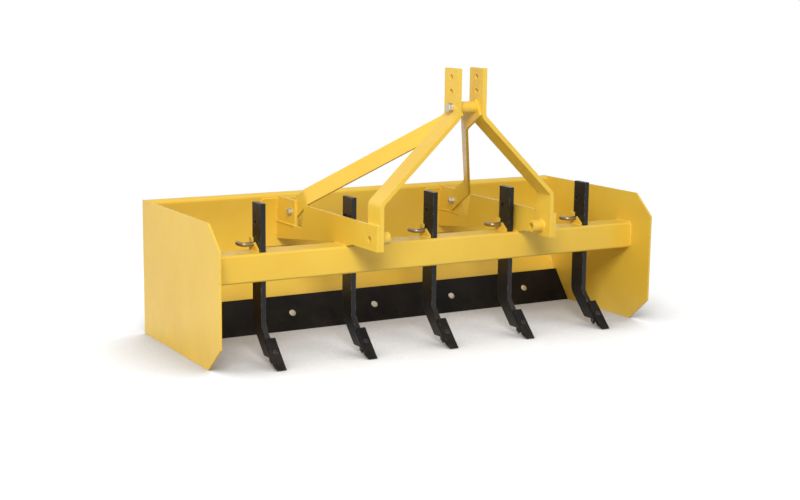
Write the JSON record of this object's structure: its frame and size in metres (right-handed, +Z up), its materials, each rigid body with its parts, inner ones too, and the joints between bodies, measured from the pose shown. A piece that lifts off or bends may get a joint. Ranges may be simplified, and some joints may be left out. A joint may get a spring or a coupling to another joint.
{
  "type": "tractor box blade",
  "caption": "Box blade for a tractor's three-point hitch: end plates, curved moldboard, cutting edges, scarifier shanks on a toolbar",
  "frame": {"origin": "on the ground, under the middle of the whole machine's box", "axes": "X to the machine's right, the hitch faces -Y and the blade is at +Y, Z up"},
  "size_m": [1.829, 0.8324, 1.022],
  "materials": {
    "yellow_paint": "satin",
    "black_steel": "satin",
    "zinc_steel": "satin"
  },
  "bodies": {
    "frame": {"moldboard": "yellow_paint", "rear_sheet": "yellow_paint", "cutting_edge_front": "black_steel", "cutting_edge_rear": "black_steel", "toolbar": "yellow_paint", "shank_ears": "yellow_paint", "mast_spacer": "yellow_paint", "mast_bolt": "zinc_steel", "end_plate_left": "yellow_paint", "end_plate_right": "yellow_paint", "hitch_leg_left": "yellow_paint", "hitch_leg_right": "yellow_paint", "moldboard_pad_left": "yellow_paint", "moldboard_pad_right": "yellow_paint", "hitch_side_plate_left": "yellow_paint", "hitch_side_plate_right": "yellow_paint", "brace_lug_left": "yellow_paint", "brace_lug_right": "yellow_paint", "hitch_boss_left": "yellow_paint", "hitch_boss_right": "yellow_paint", "brace_left": "yellow_paint", "brace_right": "yellow_paint", "brace_bolt_left": "zinc_steel", "brace_bolt_right": "zinc_steel"},
    "scarifier_1": {"shank_1": "black_steel", "shank_point_1": "black_steel", "shank_pin_1": "zinc_steel"},
    "scarifier_2": {"shank_2": "black_steel", "shank_point_2": "black_steel", "shank_pin_2": "zinc_steel"},
    "scarifier_3": {"shank_3": "black_steel", "shank_point_3": "black_steel", "shank_pin_3": "zinc_steel"},
    "scarifier_4": {"shank_4": "black_steel", "shank_point_4": "black_steel", "shank_pin_4": "zinc_steel"},
    "scarifier_5": {"shank_5": "black_steel", "shank_point_5": "black_steel", "shank_pin_5": "zinc_steel"}
  },
  "joints": [
    {"name": "shank_1_height", "type": "slide", "parent": "frame", "child": "scarifier_1", "axis": [0, 0, 1], "range_m": [0, 0.14]},
    {"name": "shank_2_height", "type": "slide", "parent": "frame", "child": "scarifier_2", "axis": [0, 0, 1], "range_m": [0, 0.14]},
    {"name": "shank_3_height", "type": "slide", "parent": "frame", "child": "scarifier_3", "axis": [0, 0, 1], "range_m": [0, 0.14]},
    {"name": "shank_4_height", "type": "slide", "parent": "frame", "child": "scarifier_4", "axis": [0, 0, 1], "range_m": [0, 0.14]},
    {"name": "shank_5_height", "type": "slide", "parent": "frame", "child": "scarifier_5", "axis": [0, 0, 1], "range_m": [0, 0.14]}
  ]
}
